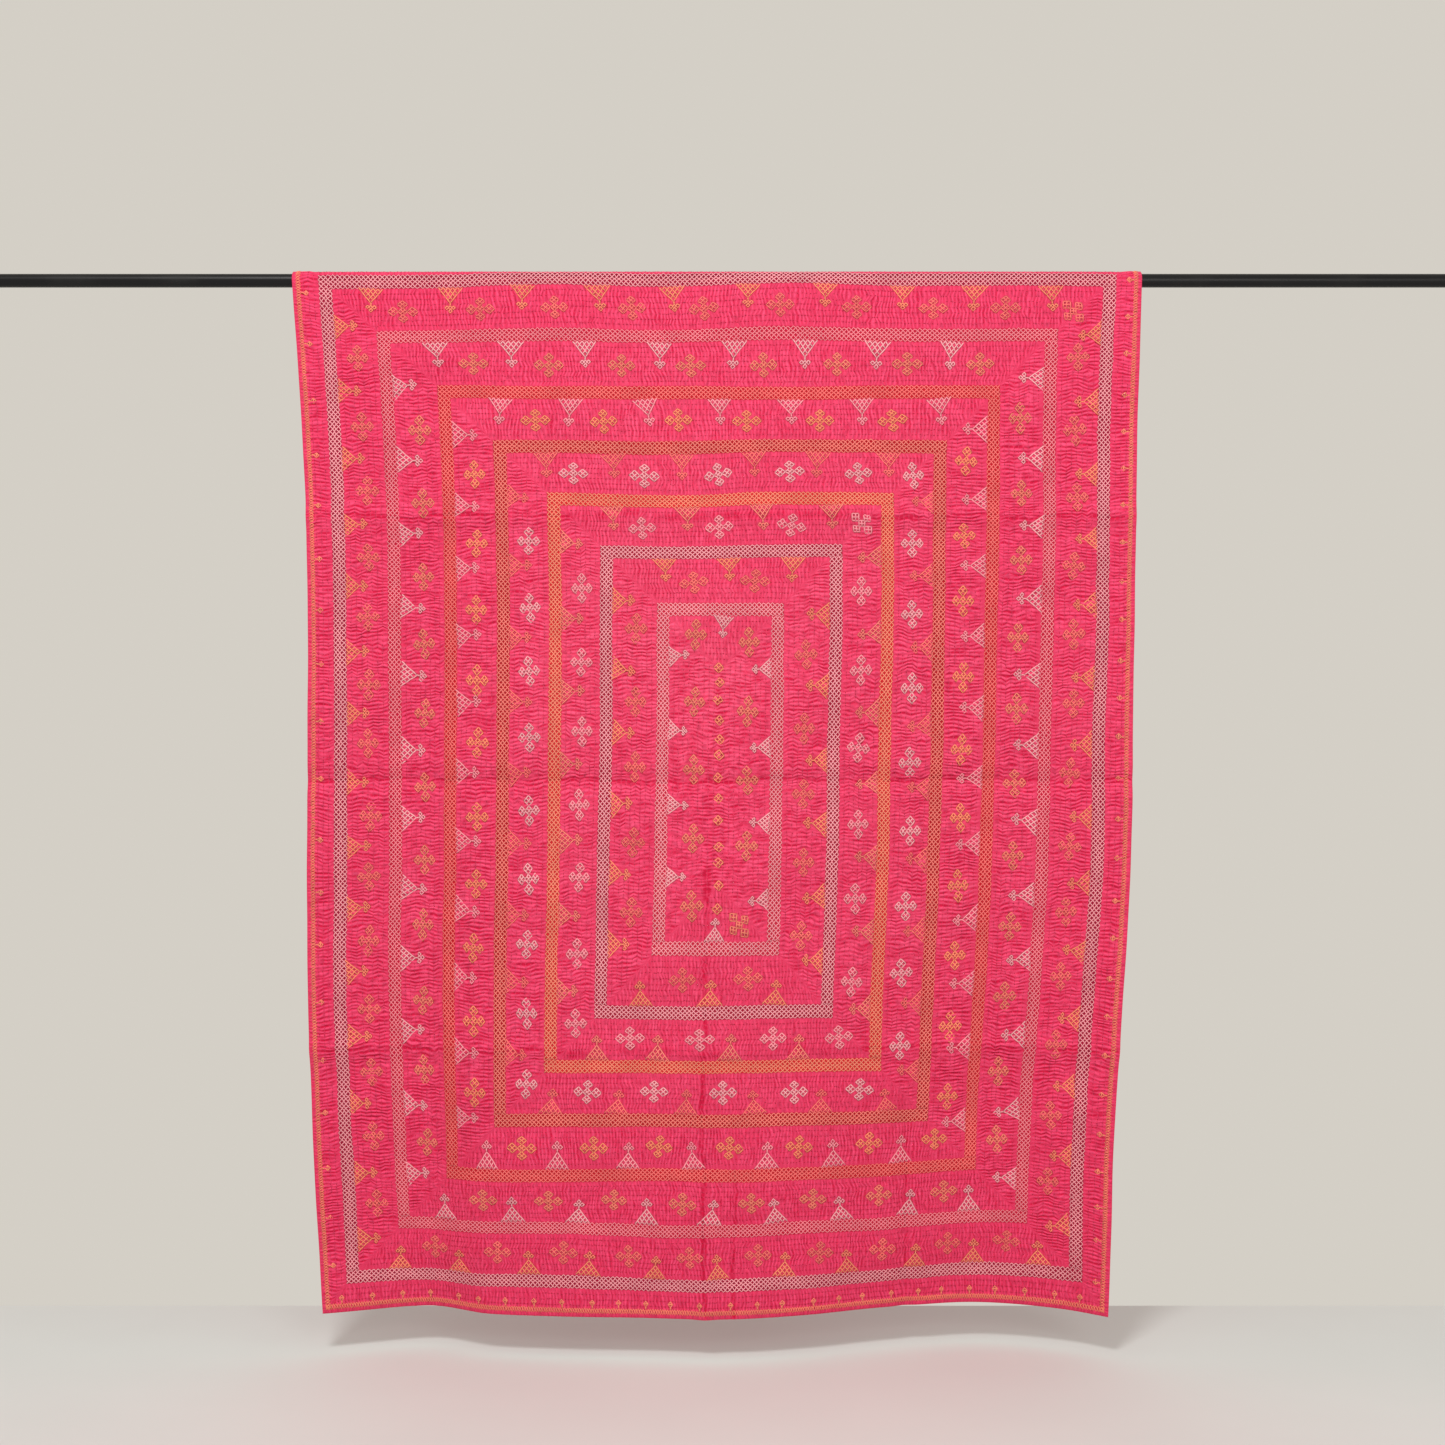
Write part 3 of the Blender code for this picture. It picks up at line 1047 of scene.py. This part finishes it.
def make_stitches(material):
    """Running stitches along every row, left out where a motif covers the cloth."""
    source = np.random.default_rng(SEED + 300)
    all_across, all_along, all_upright = [], [], []
    for zone in range(LAST_ZONE + 1):
        width = ZONE_ENDS[zone] - ZONE_STARTS[zone]
        steps = round(width / ROW_PITCH)
        for row in range(1, steps):
            inset = ZONE_STARTS[zone] + width * row / steps
            if inset < EDGING_INSET + 2 * EDGING_HALF:
                continue
            for side in SIDE_NAMES:
                first = math.ceil((inset + PUCKER) / PUCKER)
                last = math.floor((side_length(side) - inset - PUCKER) / PUCKER)
                place = (np.arange(first, last) + 0.5) * PUCKER
                upright = np.full(len(place), side in ("left", "right"))
                mitre = np.minimum(place - inset, side_length(side) - inset - place)
                number = np.full(len(place), SIDE_NUMBERS[side])
                place = place + drift(place, np.full(len(place), inset), number, mitre)
                place = place + source.normal(0, 0.0006, len(place))
                across, along = at_side(side, place, inset + source.normal(0, 0.0007, len(place)))
                all_across.append(across)
                all_along.append(along)
                all_upright.append(upright)
    across = np.concatenate(all_across)
    along = np.concatenate(all_along)
    upright = np.concatenate(all_upright)
    bare = cover.at(across, along) < 0.5
    across, along, upright = across[bare], along[bare], upright[bare]
    half = STITCH_LENGTH / 2
    side = STITCH_WIDTH / 2
    offsets = ((-half, 0.0, 0.0001), (half, 0.0, 0.0001), (0.0, -side, 0.0007), (0.0, side, 0.0007))
    points = []
    for run, out, lift in offsets:
        point_across = across + np.where(upright, out, run)
        point_along = along + np.where(upright, run, -out)
        points.append(lay(point_across, point_along, face_height(point_across, point_along) + lift)[0])
    points = np.stack(points, axis=1).reshape(-1, 3)
    index = 4 * np.arange(len(across))[:, None]
    triangles = np.concatenate([index + np.array(face) for face in ((0, 3, 2), (1, 2, 3), (0, 1, 3), (0, 2, 1))])
    mesh = make_mesh("running_stitches", points, triangles, np.zeros((0, 4), dtype=int))
    return add_piece("running_stitches", mesh, [material])


def new_material(name, color, roughness):
    material = bpy.data.materials.new(name)
    material.use_nodes = True
    shader = material.node_tree.nodes["Principled BSDF"]
    shader.inputs["Base Color"].default_value = (*color, 1.0)
    shader.inputs["Roughness"].default_value = roughness
    return material, material.node_tree.nodes, material.node_tree.links, shader


def noise_node(nodes, links, place, scale, detail):
    noise = nodes.new("ShaderNodeTexNoise")
    noise.inputs["Scale"].default_value = scale
    noise.inputs["Detail"].default_value = detail
    links.new(place, noise.inputs["Vector"])
    return noise.outputs["Fac"]


def value_node(nodes, name):
    node = nodes.new("ShaderNodeAttribute")
    node.attribute_name = name
    return node.outputs["Fac"]


def worked(nodes, links, operation, first, second):
    """Arithmetic on two values, each a link or a number."""
    node = nodes.new("ShaderNodeMath")
    node.operation = operation
    for socket, value in zip(node.inputs, (first, second)):
        if hasattr(value, "is_linked"):
            links.new(value, socket)
        else:
            socket.default_value = value
    return node.outputs["Value"]


def mixed(nodes, links, factor, first, second, blend="MIX"):
    mix = nodes.new("ShaderNodeMix")
    mix.data_type = "RGBA"
    mix.blend_type = blend
    for socket, value in (("Factor_Float", factor), ("A_Color", first), ("B_Color", second)):
        target = next(item for item in mix.inputs if item.identifier == socket)
        if hasattr(value, "is_linked"):
            links.new(value, target)
        else:
            target.default_value = value
    return next(item for item in mix.outputs if item.identifier == "Result_Color")


def ranged(nodes, links, value, low, high, new_low, new_high):
    node = nodes.new("ShaderNodeMapRange")
    for name, number in (("From Min", low), ("From Max", high), ("To Min", new_low), ("To Max", new_high)):
        node.inputs[name].default_value = number
    links.new(value, node.inputs["Value"])
    return node.outputs["Result"]


def shade(color, amount):
    return (*(channel * amount for channel in color), 1.0)


def cloth_material(name, lit_crest_color, shaded_trough_color, middle_color, shaded_stitching=True):
    """Cotton, paler towards the middle: painted light on the puckers' crests, painted shade between them and
    painted shade in dots at the stitches.
    """
    material, nodes, links, shader = new_material(name, lit_crest_color, 0.9)
    place = nodes.new("ShaderNodeTexCoord").outputs["Object"]
    turn = value_node(nodes, "turn")
    row = value_node(nodes, "row")
    centre = nodes.new("ShaderNodeVectorMath")
    centre.operation = "DISTANCE"
    links.new(place, centre.inputs[0])
    centre.inputs[1].default_value = FADE_CENTRE
    # Paler towards the middle of the quilt, in patches
    fade = ranged(nodes, links, centre.outputs["Value"], 0.0, FADE_REACH, 0.75, 0.0)
    patches = ranged(nodes, links, noise_node(nodes, links, place, 2.2, 3.0), 0.35, 0.65, 0.4, 1.0)
    both = worked(nodes, links, "MULTIPLY", fade, patches)
    high = mixed(nodes, links, both, shade(lit_crest_color, 1.0), shade(middle_color, 1.0))
    relief = value_node(nodes, "relief")
    if shaded_stitching:
        # The painted light and shade of the puckers is weaker on the stitched rows
        pinch = ranged(nodes, links, worked(nodes, links, "PINGPONG", row, 0.5), 0.02, 0.24, 0.25, 1.15)
        relief = worked(nodes, links, "MULTIPLY", relief, pinch)
    # Share of painted light on the crests against painted shade in the troughs
    crest = ranged(nodes, links, relief, -0.9, 0.7, 0.0, 1.0)
    tone = mixed(nodes, links, crest, shade(shaded_trough_color, 1.0), high)
    if shaded_stitching:
        # Painted shade in short dark dashes along the puckers, slightly lighter between them
        stitched = nodes.new("ShaderNodeCombineXYZ")
        links.new(worked(nodes, links, "MULTIPLY", turn, 2.4), stitched.inputs["X"])
        links.new(worked(nodes, links, "MULTIPLY", row, 0.9), stitched.inputs["Y"])
        pucker_shade_dashes = ranged(
            nodes, links, noise_node(nodes, links, stitched.outputs["Vector"], 1.0, 2.0), 0.32, 0.62, 0.76, 1.10
        )
        tone = tinted(nodes, links, tone, pucker_shade_dashes)
        # Painted shade in dots where the stitches pull the cloth in at the troughs
        on_row = ranged(nodes, links, worked(nodes, links, "PINGPONG", row, 0.5), 0.05, 0.20, 1.0, 0.0)
        in_trough = ranged(nodes, links, worked(nodes, links, "PINGPONG", turn, 0.5), 0.20, 0.42, 0.0, 1.0)
        stitch_hole_shade = worked(nodes, links, "MULTIPLY", on_row, worked(nodes, links, "ADD", in_trough, 0.3))
        stitch_hole_shade = worked(nodes, links, "MULTIPLY", stitch_hole_shade, value_node(nodes, "stitch_shade"))
        tone = mixed(nodes, links, worked(nodes, links, "MULTIPLY", stitch_hole_shade, 0.7), tone, shade(shaded_trough_color, 0.8))
    slub = ranged(nodes, links, noise_node(nodes, links, place, 900.0, 2.0), 0.3, 0.7, 0.88, 1.06)
    tone = tinted(nodes, links, tone, slub)
    links.new(tone, shader.inputs["Base Color"])
    shader.inputs["Sheen Weight"].default_value = 0.08
    shader.inputs["Sheen Roughness"].default_value = 0.5
    shader.inputs["Specular IOR Level"].default_value = 0.12
    bump = nodes.new("ShaderNodeBump")
    bump.inputs["Strength"].default_value = 0.5
    bump.inputs["Distance"].default_value = 0.0006
    links.new(noise_node(nodes, links, place, 420.0, 4.0), bump.inputs["Height"])
    links.new(bump.outputs["Normal"], shader.inputs["Normal"])
    return material


def tinted(nodes, links, tone, amount):
    """Multiply a colour by a single number at each place."""
    combine = nodes.new("ShaderNodeCombineColor")
    for channel in ("Red", "Green", "Blue"):
        links.new(amount, combine.inputs[channel])
    return mixed(nodes, links, 1.0, tone, combine.outputs["Color"], "MULTIPLY")


def thread_material(name, color):
    """Soft cotton floss: uneven dye, a little gloss across the strands, and painted shade on the feet where a
    thread meets the cloth.
    """
    material, nodes, links, shader = new_material(name, color, 0.7)
    place = nodes.new("ShaderNodeTexCoord").outputs["Object"]
    worn = ranged(nodes, links, noise_node(nodes, links, place, 14.0, 3.0), 0.3, 0.7, 0.0, 1.0)
    tone = mixed(nodes, links, worn, shade(color, 0.84), shade(color, 1.04))
    strands = ranged(nodes, links, noise_node(nodes, links, place, 1400.0, 1.0), 0.3, 0.7, 0.82, 1.08)
    tone = tinted(nodes, links, tone, strands)
    # The threads' feet get painted shade, the crests the thread colour
    shaded_foot = tuple(channel * share for channel, share in zip(color, THREAD_SHADED_FOOT))
    lit_share = ranged(nodes, links, value_node(nodes, "crest"), 0.30, 0.46, 0.0, 1.0)
    tone = mixed(nodes, links, lit_share, shade(shaded_foot, 1.0), tone)
    links.new(tone, shader.inputs["Base Color"])
    shader.inputs["Sheen Weight"].default_value = 0.1
    shader.inputs["Specular IOR Level"].default_value = 0.2
    bump = nodes.new("ShaderNodeBump")
    bump.inputs["Strength"].default_value = 0.4
    bump.inputs["Distance"].default_value = 0.0003
    links.new(noise_node(nodes, links, place, 1400.0, 1.0), bump.inputs["Height"])
    links.new(bump.outputs["Normal"], shader.inputs["Normal"])
    return material


def rod_material():
    """Satin black paint on a drawn steel pipe, rubbed a little greyer where hands and cloth pass."""
    material, nodes, links, shader = new_material("rod_paint", (0.012, 0.012, 0.013), 0.4)
    place = nodes.new("ShaderNodeTexCoord").outputs["Object"]
    rubbed = ranged(nodes, links, noise_node(nodes, links, place, 9.0, 5.0), 0.5, 0.75, 0.0, 1.0)
    tone = mixed(nodes, links, rubbed, (0.004, 0.004, 0.005, 1.0), (0.012, 0.012, 0.012, 1.0))
    shader.inputs["Specular IOR Level"].default_value = 0.25
    links.new(tone, shader.inputs["Base Color"])
    links.new(ranged(nodes, links, rubbed, 0.0, 1.0, 0.36, 0.52), shader.inputs["Roughness"])
    bump = nodes.new("ShaderNodeBump")
    bump.inputs["Strength"].default_value = 0.15
    bump.inputs["Distance"].default_value = 0.0005
    links.new(noise_node(nodes, links, place, 160.0, 3.0), bump.inputs["Height"])
    links.new(bump.outputs["Normal"], shader.inputs["Normal"])
    return material


def stage_material(name, color, roughness):
    material, nodes, links, shader = new_material(name, color, roughness)
    place = nodes.new("ShaderNodeTexCoord").outputs["Object"]
    tone = mixed(
        nodes, links, noise_node(nodes, links, place, 2.0, 4.0), shade(color, 0.94), shade(color, 1.04)
    )
    links.new(tone, shader.inputs["Base Color"])
    return material


def make_camera():
    data = bpy.data.cameras.new("camera")
    data.lens = LENS
    data.sensor_width = 36.0
    camera = bpy.data.objects.new("camera", data)
    camera.location = CAMERA_PLACE
    camera.rotation_euler = (math.radians(90), 0.0, 0.0)
    bpy.context.scene.collection.objects.link(camera)
    bpy.context.scene.camera = camera


def make_light(name, place, target, size, power, color):
    data = bpy.data.lights.new(name, "AREA")
    data.shape = "DISK"
    data.size = size
    data.energy = power
    data.color = color
    light = bpy.data.objects.new(name, data)
    light.location = place
    light.rotation_euler = (Vector(target) - Vector(place)).to_track_quat("-Z", "Y").to_euler()
    bpy.context.scene.collection.objects.link(light)


def make_room():
    """A pale floor under soft light from above and in front."""
    width, depth = FLOOR_SIZE
    corners = [(-width / 2, FLOOR_BACK - depth), (width / 2, FLOOR_BACK - depth), (width / 2, FLOOR_BACK), (-width / 2, FLOOR_BACK)]
    mesh = bpy.data.meshes.new("floor")
    mesh.from_pydata([(x, y, FLOOR_LEVEL) for x, y in corners], [], [(0, 1, 2, 3)])
    floor = bpy.data.objects.new("floor", mesh)
    bpy.context.scene.collection.objects.link(floor)
    mesh.materials.append(stage_material("floor_pale", (0.67, 0.68, 0.68), 0.8))
    make_light("key", (-1.1, -4.0, 3.4), (0.0, 0.0, -1.0), 1.3, 174.0, (1.0, 0.98, 0.96))
    make_light("fill", (1.8, -5.4, 0.5), (0.0, 0.0, -1.4), 2.0, 62.0, (1.0, 0.97, 0.94))
    world = bpy.data.worlds.new("soft_room")
    world.use_nodes = True
    background = world.node_tree.nodes["Background"]
    background.inputs["Color"].default_value = (0.775, 0.735, 0.665, 1.0)
    background.inputs["Strength"].default_value = 0.85
    bpy.context.scene.world = world
    bpy.context.scene.view_settings.view_transform = "Standard"


def main():
    make_camera()
    make_room()
    materials = {name: thread_material(f"thread_{name}", color) for name, color in THREAD_COLORS.items()}
    cloth = [cloth_material("cloth_pink", CLOTH_CREST_LIT, CLOTH_TROUGH_SHADED, CLOTH_PALE_MIDDLE)]
    for offset, color, width, shaded_ground in BANDS:
        # Cloth under each band: painted shade between the lattice threads
        cloth.append(cloth_material(f"cloth_shaded_under_{color}", shaded_ground, shade(shaded_ground, 0.8)[:3], shaded_ground, False))
    backing = cloth_material("cloth_backing", BACKING_CREST_LIT, BACKING_TROUGH_SHADED, BACKING_CREST_LIT)
    motifs = Motifs()
    chart_motifs(motifs)
    faces = make_face(cloth)
    back = make_back(backing)
    thread_pieces = [make_band(number, materials[BANDS[number][1]]) for number in range(len(BANDS))]
    thread_pieces += motifs.pieces(materials)
    thread_pieces.append(make_edging(materials["flame"]))
    thread_pieces.append(make_stitches(materials["stitch"]))
    for piece in (*faces, back, *thread_pieces):
        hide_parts("quilt")
    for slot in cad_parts["rod"].material_slots:
        slot.material = rod_material()


main()
